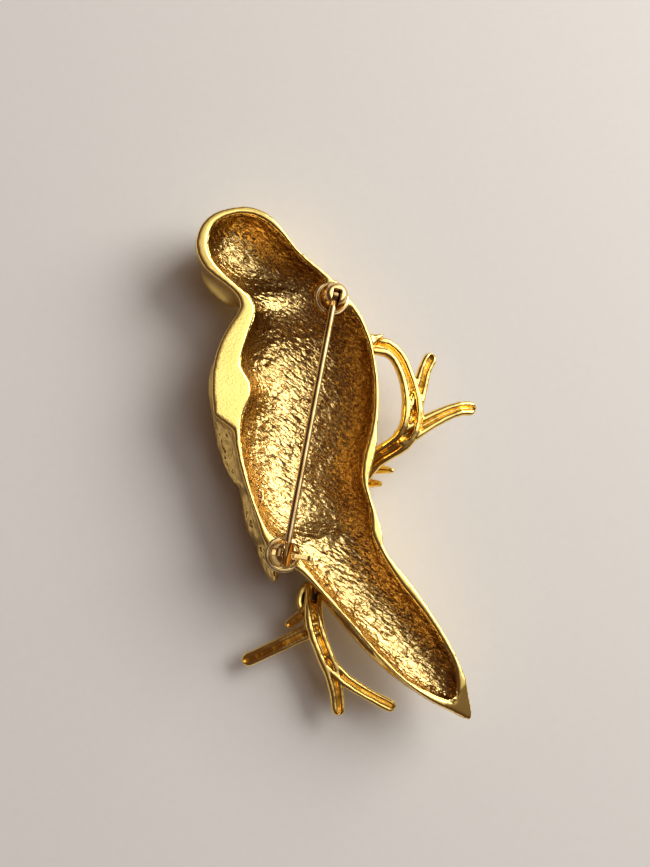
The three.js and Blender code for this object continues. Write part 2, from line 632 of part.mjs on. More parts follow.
const brooch = new THREE.Group();
brooch.add(
  named('bird_body', buildBird(), gold),
  named('branch', buildBranch(), gold),
  named('eye_stone', buildEyeStone(), darkGlass),
  named('leaf_stone', buildLeafStone(), tealGlass),
  standAt(named('hinge_patch', patch(), gold), hingeSpot, 0),
  standAt(named('catch_patch', patch(), gold), catchSpot, 0),
  standAt(named('hinge_knuckle', buildKnuckle(), paleGold), hingeSpot, stemLevel),
  standAt(named('hinge_rivet', buildRivet(), paleGold), hingeSpot, stemLevel),
  standAt(named('pin_stem', buildStem(), paleGold), hingeSpot, stemLevel),
  standAt(named('catch_housing', buildHousing(), paleGold), catchSpot, stemLevel),
  standAt(named('catch_rotor', buildRotor(), paleGold), catchSpot, stemLevel),
);

// The origin goes under the middle of the brooch, level with its lowest point.
brooch.updateMatrixWorld(true);
const extent = new THREE.Box3().setFromObject(brooch, true);
const middle = extent.getCenter(new THREE.Vector3());
brooch.position.set(-middle.x, -middle.y, -extent.min.z);

export default brooch;
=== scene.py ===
"""Cast gold-plated parrot brooch, lying face down with its hollow back up.

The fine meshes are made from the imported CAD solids: each is remeshed finely,
its facets are smoothed, and the cast relief is raised on it. Lengths inside the
mesh work are in millimetres, and everything placed in the scene is in metres.
"""

import math

import bpy
import numpy as np
from mathutils import Matrix, Vector, noise
from mathutils.bvhtree import BVHTree


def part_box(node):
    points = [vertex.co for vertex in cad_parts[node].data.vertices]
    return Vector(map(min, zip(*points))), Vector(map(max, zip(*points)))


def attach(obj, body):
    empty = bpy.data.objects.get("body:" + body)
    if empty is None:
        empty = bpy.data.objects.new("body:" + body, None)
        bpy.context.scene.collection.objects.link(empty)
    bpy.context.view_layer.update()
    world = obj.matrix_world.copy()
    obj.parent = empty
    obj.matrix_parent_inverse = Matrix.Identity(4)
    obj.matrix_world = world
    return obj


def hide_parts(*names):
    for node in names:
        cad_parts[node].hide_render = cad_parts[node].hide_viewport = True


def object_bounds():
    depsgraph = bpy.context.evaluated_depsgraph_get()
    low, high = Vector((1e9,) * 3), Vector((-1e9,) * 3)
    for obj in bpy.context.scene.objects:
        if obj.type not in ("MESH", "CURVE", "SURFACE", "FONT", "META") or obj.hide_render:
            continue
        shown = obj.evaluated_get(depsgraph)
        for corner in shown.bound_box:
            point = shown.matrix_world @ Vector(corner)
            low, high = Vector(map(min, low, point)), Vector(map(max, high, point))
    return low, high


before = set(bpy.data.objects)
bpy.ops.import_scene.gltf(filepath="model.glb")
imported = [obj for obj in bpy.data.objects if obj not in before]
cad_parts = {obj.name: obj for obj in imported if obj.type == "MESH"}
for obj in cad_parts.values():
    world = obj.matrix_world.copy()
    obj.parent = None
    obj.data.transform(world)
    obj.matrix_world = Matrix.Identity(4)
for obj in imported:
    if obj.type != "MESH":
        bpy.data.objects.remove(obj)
cad_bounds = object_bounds()

MM = 0.001

# Voxel sizes of the fine meshes, in millimetres.
BIRD_VOXEL = 0.25
BRANCH_VOXEL = 0.11
FINDING_VOXEL = 0.07

# Rounds of smoothing: the bird's facets, then its edges, and the branch.
FACET_ROUNDS = 30
EDGE_ROUNDS = 6
BRANCH_ROUNDS = 3

# Heights of the relief in millimetres.
STROKE_HEIGHT = 0.07
LUMP_HEIGHT = 0.14
BARB_HEIGHT = 0.12
BLOW_HOLE_DEPTH = 0.35
FEATHER_SINK = 0.08
KNOT_HEIGHT = 0.07
GRAIN_HEIGHT = 0.05
HINGE_LIP = 0.3
CATCH_LIP = 0.06

# The camera: the middle of its view from the box's middle, and its distance, in millimetres.
VIEW_OFFSET = Vector((-2.345, 3.895, 0))
VIEW_DISTANCE = 168.6
VIEW_AZIMUTH = -60
VIEW_ELEVATION = 75
FLOOR_GAP = 0.0002

# What the smoothing takes off is put back by this much, in millimetres.
BRANCH_SWELL = 0.07
FINDING_SWELL = 0.02
# The rivet stays this much under size instead, clear of the stem's rounded eye.
RIVET_SWELL = -0.06


# ---------- Meshes ----------

def points_of(mesh):
    """Vertex positions as an array, in millimetres."""
    flat = np.empty(len(mesh.vertices) * 3)
    mesh.vertices.foreach_get("co", flat)
    return flat.reshape(-1, 3) / MM


def set_points(mesh, points):
    mesh.vertices.foreach_set("co", (points * MM).ravel())
    mesh.update()


def edges_of(mesh):
    flat = np.empty(len(mesh.edges) * 2, dtype=np.int64)
    mesh.edges.foreach_get("vertices", flat)
    return flat.reshape(-1, 2)


def normals_of(mesh):
    flat = np.empty(len(mesh.vertices) * 3)
    mesh.vertex_normals.foreach_get("vector", flat)
    return flat.reshape(-1, 3)


def new_object(name, mesh, material, smooth=True):
    """A new object in the scene, with one material."""
    obj = bpy.data.objects.new(name, mesh)
    bpy.context.scene.collection.objects.link(obj)
    mesh.materials.clear()
    mesh.materials.append(material)
    mesh.polygons.foreach_set("use_smooth", [smooth] * len(mesh.polygons))
    mesh.update()
    return obj


def mesh_from(name, vertices, faces):
    """A mesh from vertices in millimetres."""
    mesh = bpy.data.meshes.new(name)
    mesh.from_pydata([tuple(c * MM for c in v) for v in vertices], [], faces)
    mesh.validate()
    mesh.update()
    return mesh


def remeshed(name, source, voxel):
    """A fine voxel remesh of a mesh. The voxel is in millimetres."""
    copy = source.copy()
    copy.transform(Matrix.Scale(1 / MM, 4))
    carrier = bpy.data.objects.new(name + "_carrier", copy)
    bpy.context.scene.collection.objects.link(carrier)
    modifier = carrier.modifiers.new("fine", "REMESH")
    modifier.mode = "VOXEL"
    modifier.voxel_size = voxel
    modifier.adaptivity = 0
    graph = bpy.context.evaluated_depsgraph_get()
    mesh = bpy.data.meshes.new_from_object(carrier.evaluated_get(graph))
    mesh.transform(Matrix.Scale(MM, 4))
    mesh.name = name
    bpy.data.objects.remove(carrier)
    bpy.data.meshes.remove(copy)
    return mesh


def surface_tree(source):
    """A search tree over a mesh's faces, in millimetres."""
    return BVHTree.FromPolygons(
        [v.co / MM for v in source.vertices], [tuple(p.vertices) for p in source.polygons])


def snapped(points, source):
    """The points moved on to the nearest place of a CAD mesh, which takes out voxel steps."""
    tree = surface_tree(source)
    return np.array([tuple(tree.find_nearest(Vector(p))[0]) for p in points])


def neighbour_mean(values, edges, degree):
    count = len(values)
    total = np.empty_like(values)
    for axis in range(values.shape[1]):
        column = values[:, axis]
        total[:, axis] = (
            np.bincount(edges[:, 0], column[edges[:, 1]], count)
            + np.bincount(edges[:, 1], column[edges[:, 0]], count)
        )
    return total / degree[:, None]


def smoothed(points, edges, rounds, weight):
    """Moves each point towards its neighbours' mean, by its own weight."""
    degree = np.maximum(np.bincount(edges.ravel(), minlength=len(points)), 1)
    weight = np.broadcast_to(np.asarray(weight, float), (len(points),))[:, None]
    for _ in range(rounds):
        points = points + (neighbour_mean(points, edges, degree) - points) * weight
    return points


def step(low, high, values):
    """0 below low, 1 above high, and smooth between."""
    share = np.clip((values - low) / (high - low), 0, 1)
    return share * share * (3 - 2 * share)


def fractal(points, scale, octaves=2, seed=0.0):
    """Smooth noise from about -1 to 1 at each point, with bumps of that scale."""
    shift = Vector((seed, seed * 1.7, -seed))
    return np.array([
        noise.fractal(Vector(p) / scale + shift, 0.6, 2.1, octaves) for p in points
    ])


# ---------- Materials ----------

def node(tree, kind, **settings):
    """A shader node with its settings."""
    made = tree.nodes.new(kind)
    for key, value in settings.items():
        setattr(made, key, value)
    return made


def ramp(tree, source, stops):
    made = tree.nodes.new("ShaderNodeValToRGB")
    elements = made.color_ramp.elements
    while len(elements) < len(stops):
        elements.new(0.5)
    for element, (place, colour) in zip(elements, stops):
        element.position = place
        element.color = colour if len(colour) == 4 else (*colour, 1)
    tree.links.new(source, made.inputs[0])
    return made.outputs[0]


def noise_texture(tree, where, scale, detail=3.0, roughness=0.55, distortion=0.0):
    """Noise at a scale in waves per metre."""
    made = tree.nodes.new("ShaderNodeTexNoise")
    made.inputs["Scale"].default_value = scale
    made.inputs["Detail"].default_value = detail
    made.inputs["Roughness"].default_value = roughness
    made.inputs["Distortion"].default_value = distortion
    tree.links.new(where, made.inputs["Vector"])
    return made.outputs["Fac"]


def cell_texture(tree, where, scale):
    """Rounded cells at a scale in cells per metre."""
    made = node(tree, "ShaderNodeTexVoronoi", feature="SMOOTH_F1")
    made.inputs["Scale"].default_value = scale
    made.inputs["Smoothness"].default_value = 0.35
    tree.links.new(where, made.inputs["Vector"])
    return made.outputs["Distance"]


def placed(tree, stretch=(1, 1, 1), turn=0.0):
    """Object coordinates, turned about Z and then stretched."""
    where = tree.nodes.new("ShaderNodeTexCoord").outputs["Object"]
    turned = node(tree, "ShaderNodeMapping")
    turned.inputs["Rotation"].default_value = (0, 0, turn)
    tree.links.new(where, turned.inputs["Vector"])
    scaled = node(tree, "ShaderNodeMapping")
    scaled.inputs["Scale"].default_value = stretch
    tree.links.new(turned.outputs["Vector"], scaled.inputs["Vector"])
    return scaled.outputs["Vector"]


def math_node(tree, operation, first, second):
    made = node(tree, "ShaderNodeMath", operation=operation)
    for socket, value in zip(made.inputs, (first, second)):
        if isinstance(value, (int, float)):
            socket.default_value = value
        else:
            tree.links.new(value, socket)
    return made.outputs[0]


def bumped(tree, height, strength, distance, before=None):
    made = tree.nodes.new("ShaderNodeBump")
    made.inputs["Strength"].default_value = strength
    made.inputs["Distance"].default_value = distance * MM
    tree.links.new(height, made.inputs["Height"])
    if before is not None:
        tree.links.new(before, made.inputs["Normal"])
    return made.outputs["Normal"]


def new_material(name):
    material = bpy.data.materials.new(name)
    material.use_nodes = True
    tree = material.node_tree
    shader = tree.nodes["Principled BSDF"]
    return material, tree, shader


def mixed(tree, share, first, second):
    """A colour between two colours or colour outputs."""
    made = node(tree, "ShaderNodeMix", data_type="RGBA")
    for socket, value in zip((made.inputs[6], made.inputs[7]), (first, second)):
        if isinstance(value, tuple):
            socket.default_value = (*value, 1)
        else:
            tree.links.new(value, socket)
    tree.links.new(share, made.inputs[0])
    return made.outputs[2]


BRIGHT_GOLD = (1.0, 0.75, 0.24)
WARM_GOLD = (0.97, 0.66, 0.18)
HOLLOW_GOLD = (0.76, 0.53, 0.20)
SHADE_AND_WEAR_BROWN = (0.30, 0.12, 0.035)


def cast_gold(name):
    """Gold plate: polished where "cast" is 0, rippled as cast where it is 1, and finely pitted where
    "stipple" is 1.
    The rippled part is painted darker in its low places, as painted shade, and the attribute for
    painted shade and wear darkens the plate further."""
    material, tree, shader = new_material(name)
    cast, painted_shade_and_wear, stipple = (
        node(tree, "ShaderNodeAttribute", attribute_name=key).outputs["Fac"]
        for key in ("cast", "painted_shade_and_wear", "stipple"))
    across_strokes = placed(tree, (1, 2.4, 1), math.radians(30))
    strokes = noise_texture(tree, across_strokes, 800, 2.0, 0.55, 0.5)
    cells = cell_texture(tree, across_strokes, 900)
    grains = noise_texture(tree, placed(tree), 4200, 1.5, 0.6)
    ripple = math_node(tree, "ADD", math_node(tree, "MULTIPLY", strokes, 0.62),
                       math_node(tree, "MULTIPLY", cells, 0.30))
    ripple = math_node(tree, "ADD", ripple, math_node(tree, "MULTIPLY", grains, 0.08))
    waves = noise_texture(tree, placed(tree), 260, 2.0, 0.5)
    scratches = noise_texture(tree, placed(tree, (1, 14, 1), math.radians(-35)), 900, 2.0, 0.6)
    dimples = noise_texture(tree, placed(tree), 3000, 2.0, 0.6)
    normal = bumped(tree, waves, 0.25, 0.10)
    normal = bumped(tree, scratches, 0.06, 0.02, normal)
    normal = bumped(tree, math_node(tree, "MULTIPLY", dimples, stipple), 0.5, 0.05, normal)
    normal = bumped(tree, math_node(tree, "MULTIPLY", ripple, cast), 1.0, 0.50, normal)
    shader.inputs["Metallic"].default_value = 1
    polished = mixed(tree, waves, BRIGHT_GOLD, WARM_GOLD)
    # The ripple's low places are painted darker, as painted shade.
    ripple_low_shade = ramp(tree, ripple, [(0.30, (0.75, 0.75, 0.75)), (0.44, (0, 0, 0))])
    ripple_shaded_gold = mixed(tree, ripple_low_shade, HOLLOW_GOLD, SHADE_AND_WEAR_BROWN)
    # Darker still where painted shade and wear are marked.
    colour = mixed(tree, painted_shade_and_wear, mixed(tree, cast, polished, ripple_shaded_gold), SHADE_AND_WEAR_BROWN)
    tree.links.new(colour, shader.inputs["Base Color"])
    dulled = math_node(tree, "MAXIMUM", cast, stipple)
    gloss = ramp(tree, math_node(tree, "ADD", math_node(tree, "MULTIPLY", dulled, 0.2),
                                 math_node(tree, "MULTIPLY", waves, 0.3)),
                 [(0.0, (0.09, 0.09, 0.09)), (1.0, (0.25, 0.25, 0.25))])
    tree.links.new(gloss, shader.inputs["Roughness"])
    tree.links.new(normal, shader.inputs["Normal"])
    return material


def turned_gold(name, colour, rough, streak_scale, streak=(1, 1, 1)):
    """The bought-in findings: drawn and stamped metal with fine tool streaks."""
    material, tree, shader = new_material(name)
    streaks = noise_texture(tree, placed(tree, streak), streak_scale, 3.0, 0.65)
    blotches = noise_texture(tree, placed(tree), 520, 2.0, 0.5)
    shader.inputs["Metallic"].default_value = 1
    darker = tuple(c * f for c, f in zip(colour, (0.72, 0.6, 0.42)))
    tree.links.new(mixed(tree, ramp(tree, blotches, [(0.35, (0, 0, 0)), (0.75, (1, 1, 1))]),
                         colour, darker), shader.inputs["Base Color"])
    gloss = ramp(tree, streaks, [(0.2, (rough * 0.7,) * 3), (0.9, (rough * 1.6,) * 3)])
    tree.links.new(gloss, shader.inputs["Roughness"])
    normal = bumped(tree, streaks, 0.12, 0.03)
    normal = bumped(tree, blotches, 0.2, 0.05, normal)
    tree.links.new(normal, shader.inputs["Normal"])
    return material


def glass_stone(name, colour, deep):
    """Foil-backed glass: a deep colour with a clear coat and faint cloudiness."""
    material, tree, shader = new_material(name)
    clouds = noise_texture(tree, placed(tree), 700, 3.0, 0.6)
    tree.links.new(mixed(tree, clouds, colour, deep), shader.inputs["Base Color"])
    shader.inputs["Metallic"].default_value = 0.35
    gloss = ramp(tree, clouds, [(0.2, (0.04,) * 3), (0.9, (0.12,) * 3)])
    tree.links.new(gloss, shader.inputs["Roughness"])
    shader.inputs["Coat Weight"].default_value = 1.0
    shader.inputs["Coat Roughness"].default_value = 0.03
    tree.links.new(bumped(tree, clouds, 0.05, 0.02), shader.inputs["Normal"])
    return material


def floor_material(name):
    material, tree, shader = new_material(name)
    grain = noise_texture(tree, placed(tree), 900, 4.0, 0.6)
    tree.links.new(mixed(tree, grain, (0.80, 0.785, 0.765), (0.84, 0.825, 0.81)),
                   shader.inputs["Base Color"])
    shader.inputs["Roughness"].default_value = 0.75
    tree.links.new(bumped(tree, grain, 0.1, 0.05), shader.inputs["Normal"])
    return material


plate_gold = cast_gold("plated_cast_gold")
finding_gold = turned_gold("finding_gold", (0.96, 0.70, 0.30), 0.17, 2600)
solder_gold = turned_gold("solder_gold", (0.97, 0.78, 0.42), 0.16, 1500)
wire_gold = turned_gold("wire_gold", (0.66, 0.48, 0.23), 0.2, 500, (9, 1, 9))
eye_glass = glass_stone("eye_glass", (0.03, 0.05, 0.03), (0.005, 0.01, 0.006))
leaf_glass = glass_stone("leaf_glass", (0.10, 0.30, 0.33), (0.04, 0.14, 0.18))

# ---------- The bird ----------

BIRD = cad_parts["bird_body"]
BIRD_LOW, BIRD_HIGH = (np.array(corner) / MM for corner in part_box("bird_body"))
RIM = BIRD_HIGH[2]


def surface_classes(mesh):
    """1 for each CAD face of the hollow, 2 for the flat rim and its bevel, else 0.

    The hollow is what a walk over the faces reaches from its lowest face
    without crossing a sharp edge."""
    count = len(mesh.polygons)
    normals = [p.normal.copy() for p in mesh.polygons]
    centres = [p.center / MM for p in mesh.polygons]
    by_edge = {}
    for polygon in mesh.polygons:
        for key in polygon.edge_keys:
            ends = tuple(sorted(
                tuple(round(c * 1e6) for c in mesh.vertices[v].co) for v in key))
            by_edge.setdefault(ends, []).append(polygon.index)
    neighbours = [[] for _ in range(count)]
    for faces in by_edge.values():
        for first in faces:
            neighbours[first] += [f for f in faces if f != first]
    middle = (BIRD_LOW + BIRD_HIGH) / 2
    start = min(
        (i for i in range(count) if normals[i].z > 0.9 and centres[i].z < RIM - 3
         and abs(centres[i].x - middle[0] + 5) < 4 and abs(centres[i].y - middle[1] - 2) < 6),
        key=lambda i: centres[i].z)
    classes = np.zeros(count, int)
    classes[start] = 1
    front = [start]
    while front:
        here = front.pop()
        for there in neighbours[here]:
            if classes[there] == 0 and normals[here].dot(normals[there]) > 0.62:
                classes[there] = 1
                front.append(there)
    for i in range(count):
        if classes[i] == 0 and normals[i].z > 0.9 and centres[i].z > RIM - 2:
            classes[i] = 2
    return classes


def nearest_values(mesh, values, points):
    """For each point, the value of the CAD face nearest to it."""
    tree = surface_tree(mesh)
    return np.array([values[tree.find_nearest(Vector(p))[2]] for p in points])


def spread(values, edges, rounds):
    """Softens a value over the mesh's neighbours."""
    column = values.reshape(-1, 1).astype(float)
    degree = np.maximum(np.bincount(edges.ravel(), minlength=len(column)), 1)
    for _ in range(rounds):
        column = 0.5 * column + 0.5 * neighbour_mean(column, edges, degree)
    return column[:, 0]


def store(mesh, name, values):
    attribute = mesh.attributes.new(name, "FLOAT", "POINT")
    attribute.data.foreach_set("value", np.asarray(values, np.float32))


def hollowness(points, normals, edges, rounds):
    """How far each point lies below the smoothed surface, in millimetres."""
    return np.sum((smoothed(points, edges, rounds, 0.5) - points) * normals, axis=1)


# The plan coordinates that the relief is laid out in start here, near the middle of the back.
PLAN_ORIGIN = BIRD_LOW[:2] + np.array([18.5, 40.0])

# The hollow's walls that face away from this are painted darker, as painted shade.
TOWARDS_LIGHT = np.array([0.85, 0.53])

# A blow hole that the casting left in the wing side's wall.
BLOW_HOLE = np.array([-8.4, -8.6])

# The line of the bird's back, from beyond the crown to the tip of the tail.
SPINE = np.array([(-11.5, 42), (-11, 33), (-10.5, 26), (-6.5, 19), (-4.4, 10), (-3.6, 0), (-1.5, -10),
                  (4, -19), (12, -29), (21, -40)], float)


def along_spine(plan):
    """Distance along the spine and signed distance from it, for each plan point."""
    starts, ends = SPINE[:-1], SPINE[1:]
    runs = ends - starts
    lengths = np.linalg.norm(runs, axis=1)
    before = np.concatenate([[0], np.cumsum(lengths)[:-1]])
    best = np.full(len(plan), np.inf)
    along = np.zeros(len(plan))
    beside = np.zeros(len(plan))
    for start, run, length, done in zip(starts, runs, lengths, before):
        unit = run / length
        offset = plan - start
        share = np.clip(offset @ unit, 0, length)
        side = offset[:, 0] * unit[1] - offset[:, 1] * unit[0]
        distance = np.linalg.norm(offset - share[:, None] * unit, axis=1)
        nearer = distance < best
        best[nearer] = distance[nearer]
        along[nearer] = (done + share)[nearer]
        beside[nearer] = (np.sign(side) * distance)[nearer]
    return along, beside


def scallops(along, beside, length, width):
    """Overlapping feather tips: each rises to its tip and drops to the next. From 0 to 1."""
    row = np.floor(along / length)
    heights = np.zeros(len(along))
    taken = np.zeros(len(along), bool)
    for back in (1, 0):
        part = along / length - (row - back)
        place = beside / width + 0.5 * ((row - back) % 2)
        off_middle = 2 * np.abs(place - np.round(place))
        reach = 1 + 0.85 * np.sqrt(np.clip(1 - off_middle ** 2, 0, 1))
        covers = ~taken & (part < reach)
        heights[covers] = (part / reach)[covers]
        taken |= covers
    heights[~taken] = 0
    return heights


def vanes(along, beside, width, barb):
    """Long feathers side by side, each with a shaft and slanting barbs. From 0 to 1."""
    place = beside / width
    part = place - np.floor(place)
    shaft = np.exp(-((part - 0.45) / 0.07) ** 2)
    slant = along / barb + np.abs(part - 0.45) * width / barb
    barbs = 0.5 + 0.5 * np.sin(2 * math.pi * slant)
    return 0.55 * part + 0.3 * shaft + 0.15 * barbs


def front_relief(plan):
    """Height of the feather relief on the bird's front and flanks, in millimetres."""
    along, beside = along_spine(plan)
    wing_edge = np.interp(plan[:, 1], [-21, -15, -8, 0, 5, 9, 14],
                          [-6, -3.6, -2.6, -2.2, -2.6, -4, -9])
    wing = (1 - step(-0.3, 0.3, plan[:, 0] - wing_edge)) * step(-22, -21, plan[:, 1])
    wing *= 1 - step(12, 14, plan[:, 1])
    tail = step(55, 57.5, along) * (1 - wing)
    head = 1 - step(21, 25, along)
    beak = 1 - step(-0.6, 0.6, plan[:, 0] + 13.2 + 0.5 * (23.8 - plan[:, 1]).clip(0, 2))
    beak *= 1 - step(24, 25, plan[:, 1])
    body = (1 - wing) * (1 - tail)
    turn = math.radians(8)
    wing_along = -plan[:, 1] * math.cos(turn) + plan[:, 0] * math.sin(turn)
    wing_beside = plan[:, 0] * math.cos(turn) + plan[:, 1] * math.sin(turn)
    small = scallops(along, beside, 1.35, 1.6)
    large = scallops(along, beside, 2.1, 2.5)
    coverts = scallops(wing_along, wing_beside, 2.3, 2.6)
    flights = vanes(wing_along, wing_beside, 1.9, 0.9)
    covert_share = step(-1.5, 0.5, plan[:, 1])
    tail_vanes = vanes(along, beside, 2.1, 1.0)
    relief = body * (head * 0.10 * small + (1 - head) * 0.17 * large)
    relief += wing * (covert_share * 0.2 * coverts + (1 - covert_share) * 0.26 * flights)
    relief += tail * 0.26 * tail_vanes
    return relief * (1 - beak)


def make_bird():
    mesh = remeshed("gold_parrot", BIRD.data, BIRD_VOXEL)
    points = points_of(mesh)
    edges = edges_of(mesh)
    classes = nearest_values(BIRD.data, surface_classes(BIRD.data), points)
    below_rim = RIM - points[:, 2]
    flat = (classes == 2) & (below_rim < 2)
    hollow = spread(classes == 1, edges, 1) * step(0.15, 0.6, below_rim)
    outside = spread((classes == 0) & (below_rim > 0.6), edges, 2) * step(0.5, 1.4, below_rim)

    # The facets go with many rounds while the flat rim is held, then the edges are rounded.
    points = snapped(points, BIRD.data)
    points = smoothed(points, edges, FACET_ROUNDS, np.where(flat, 0.0, 0.5))
    points = smoothed(points, edges, EDGE_ROUNDS, 0.5)
    set_points(mesh, points)
    normals = normals_of(mesh)

    # Cast ripple in the hollow, and feathers on the front.
    angle = math.radians(30)
    along = points[:, 0] * math.cos(angle) - points[:, 1] * math.sin(angle)
    across = points[:, 0] * math.sin(angle) + points[:, 1] * math.cos(angle)
    strokes = fractal(np.stack([along / 2.2, across, points[:, 2] / 1.5], 1), 0.8, 2, 3.1)
    lumps = fractal(points, 3.2, 2, 7.7)
    lift = hollow * (STROKE_HEIGHT * strokes + LUMP_HEIGHT * lumps)
    # The flanks are unrolled outwards, so that the feathers go on up them.
    rise = (points[:, 2] - BIRD_LOW[2])[:, None]
    feathers = front_relief(points[:, :2] - PLAN_ORIGIN + normals[:, :2] * rise)
    facing_down = step(-0.25, 0.1, -normals[:, 2])
    lift += outside * facing_down * (feathers - FEATHER_SINK)
    slit = points[:, :2] - PLAN_ORIGIN - BLOW_HOLE
    slit = np.hypot(slit[:, 0] / 0.45, slit[:, 1] / 1.2)
    blow_hole = hollow * (1 - step(0.6, 1.0, slit))
    lift -= BLOW_HOLE_DEPTH * blow_hole
    points = points + normals * lift[:, None]
    set_points(mesh, points)
    crevice = hollowness(points, normals_of(mesh), edges, 8)
    plan = points[:, :2] - PLAN_ORIGIN
    broad_land = step(-6.5, -4, plan[:, 1]) * (1 - step(15.5, 17.5, plan[:, 1]))
    broad_land *= 1 - step(-10.2, -9, plan[:, 0])
    ragged = step(-5.5, -3, plan[:, 1]) * (1 - step(-2.2, 1.5, plan[:, 1]))
    ragged *= (1 - step(-13, -11.5, plan[:, 0])) * (1 - hollow)
    wing_side = outside * step(-0.1, 0.3, normals[:, 2]) * (1 - step(-7, -5, plan[:, 0]))
    wing_side *= 1 - step(2, 5, plan[:, 1])
    barbs = fractal(np.stack([plan[:, 0] / 0.5, plan[:, 1] / 1.6, points[:, 2]], 1), 0.8, 2, 9.1)
    points = points + normals * (wing_side * BARB_HEIGHT * barbs)[:, None]
    set_points(mesh, points)
    scratched = ragged * step(0.0, 0.25, barbs)
    # The front's creases and the upturned wing side are painted darker, as painted shade; the
    # scratched band is wear.
    painted_shade_and_scratches = np.maximum(step(0.01, 0.07, crevice) * 0.75, wing_side * (0.22 + 0.08 * barbs))
    painted_shade_and_scratches = np.maximum(painted_shade_and_scratches, 0.45 * scratched)
    # Painted shade on the hollow's walls that face away from the light.
    far_wall_painted_shade = hollow * step(0.15, 0.7, -(normals[:, :2] @ TOWARDS_LIGHT))
    store(mesh, "cast", np.maximum(hollow, 0.35 * wing_side))
    # The blow hole is painted fully dark, as painted shade inside it, with the painted shade and
    # scratch wear above.
    store(mesh, "painted_shade_and_wear", np.maximum.reduce(
        [(1 - hollow) * np.clip(painted_shade_and_scratches, 0, 1), blow_hole, 0.55 * far_wall_painted_shade]))
    store(mesh, "stipple", (1 - hollow) * broad_land)
    bird = new_object("gold_parrot", mesh, plate_gold)
    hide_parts("bird_body")
    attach(bird, "casting")


def make_branch():
    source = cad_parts["branch"].data
    mesh = remeshed("gold_branch", source, BRANCH_VOXEL)
    edges = edges_of(mesh)
    points = smoothed(snapped(points_of(mesh), source), edges, BRANCH_ROUNDS, 0.5)
    set_points(mesh, points)
    normals = normals_of(mesh)
    points = points + normals * BRANCH_SWELL
    valley = hollowness(points, normals, edges, 16)
    grooved = step(0.01, 0.07, valley)
    knots = fractal(points, 2.6, 2, 1.3)
    grains = fractal(points, 0.5, 1, 5.5)
    points = points + normals * (KNOT_HEIGHT * knots + GRAIN_HEIGHT * grains * grooved)[:, None]
    set_points(mesh, points)
    store(mesh, "cast", np.zeros(len(points)))
    # The grooves are painted darker, as painted shade.
    store(mesh, "painted_shade_and_wear", 0.55 * step(0.03, 0.12, valley))
    store(mesh, "stipple", 0.8 * grooved)
    branch = new_object("gold_branch", mesh, plate_gold)
    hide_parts("branch")
    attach(branch, "casting")


def soft_copy(node_name, name, material, body, rounds=4, voxel=FINDING_VOXEL,
              swell=FINDING_SWELL):
    """A finding with its CAD edges rounded, standing for its CAD node."""
    mesh = remeshed(name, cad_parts[node_name].data, voxel)
    set_points(mesh, smoothed(points_of(mesh), edges_of(mesh), rounds, 0.5))
    set_points(mesh, points_of(mesh) + normals_of(mesh) * swell)
    obj = new_object(name, mesh, material)
    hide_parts(node_name)
    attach(obj, body)


def lathe(profile, sides=96):
    """Vertices and faces of a solid of revolution about Z. The profile is a closed line of
    [radius, height] points that starts and ends on the axis."""
    rings = profile[1:-1]
    vertices = [(0, 0, profile[0][1])]
    for radius, height in rings:
        for side in range(sides):
            angle = 2 * math.pi * side / sides
            vertices.append((radius * math.cos(angle), radius * math.sin(angle), height))
    vertices.append((0, 0, profile[-1][1]))
    last = len(vertices) - 1
    faces = []
    for side in range(sides):
        beside = (side + 1) % sides
        faces.append((0, 1 + beside, 1 + side))
        faces.append((last, last - sides + side, last - sides + beside))
        for ring in range(len(rings) - 1):
            here, above = 1 + ring * sides, 1 + (ring + 1) * sides
            faces.append((here + side, here + beside, above + beside, above + side))
    return vertices, faces


def rounded(profile, rounds=2):
    """The profile with its corners cut, its two ends kept."""
    for _ in range(rounds):
        cut = [profile[0]]
        for (r0, z0), (r1, z1) in zip(profile, profile[1:]):
            cut.append((0.75 * r0 + 0.25 * r1, 0.75 * z0 + 0.25 * z1))
            cut.append((0.25 * r0 + 0.75 * r1, 0.25 * z0 + 0.75 * z1))
        cut.append(profile[-1])
        profile = cut
    return profile


def make_dish(node_name, name, lip):
    """The stamped dish that a finding is brazed to, with a stepped lip of that height."""
    low, high = (np.array(corner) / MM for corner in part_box(node_name))
    centre = (low + high) / 2
    radius = (high[0] - low[0]) / 2
    base, top = low[2], high[2]
    profile = [(0, base), (radius * 0.96, base), (radius, base + 0.12),
               (radius, top + lip * 0.8), (radius * 0.96, top + lip), (radius * 0.89, top + lip),
               (radius * 0.86, top + lip * 0.55), (radius * 0.78, top + lip * 0.5),
               (radius * 0.74, top + lip * 0.12), (radius * 0.62, top), (0, top)]
    vertices, faces = lathe(rounded(profile))
    vertices = [(x + centre[0], y + centre[1], z) for x, y, z in vertices]
    obj = new_object(name, mesh_from(name, vertices, faces), finding_gold)
    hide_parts(node_name)
    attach(obj, "casting")


def make_solder(node_name, name, seed):
    """The uneven fillet of solder round a dish."""
    low, high = (np.array(corner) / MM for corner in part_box(node_name))
    centre = (low + high) / 2
    radius = (high[0] - low[0]) / 2
    sides, across = 96, 14
    vertices = []
    for side in range(sides):
        angle = 2 * math.pi * side / sides
        towards = Vector((math.cos(angle), math.sin(angle), 0))
        swell = noise.noise(towards * 1.6 + Vector((seed, 0, 0)))
        width = 0.30 + 0.16 * swell
        height = 0.20 + 0.08 * swell
        for place in range(across):
            turn = 2 * math.pi * place / across
            out = radius + 0.02 + width * math.cos(turn)
            level = RIM - 0.03 + height * math.sin(turn)
            vertices.append((centre[0] + towards.x * out, centre[1] + towards.y * out, level))
    faces = []
    for side in range(sides):
        for place in range(across):
            here, there = side * across, ((side + 1) % sides) * across
            after = (place + 1) % across
            faces.append((here + place, there + place, there + after, here + after))
    obj = new_object(name, mesh_from(name, vertices, faces), solder_gold)
    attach(obj, "casting")


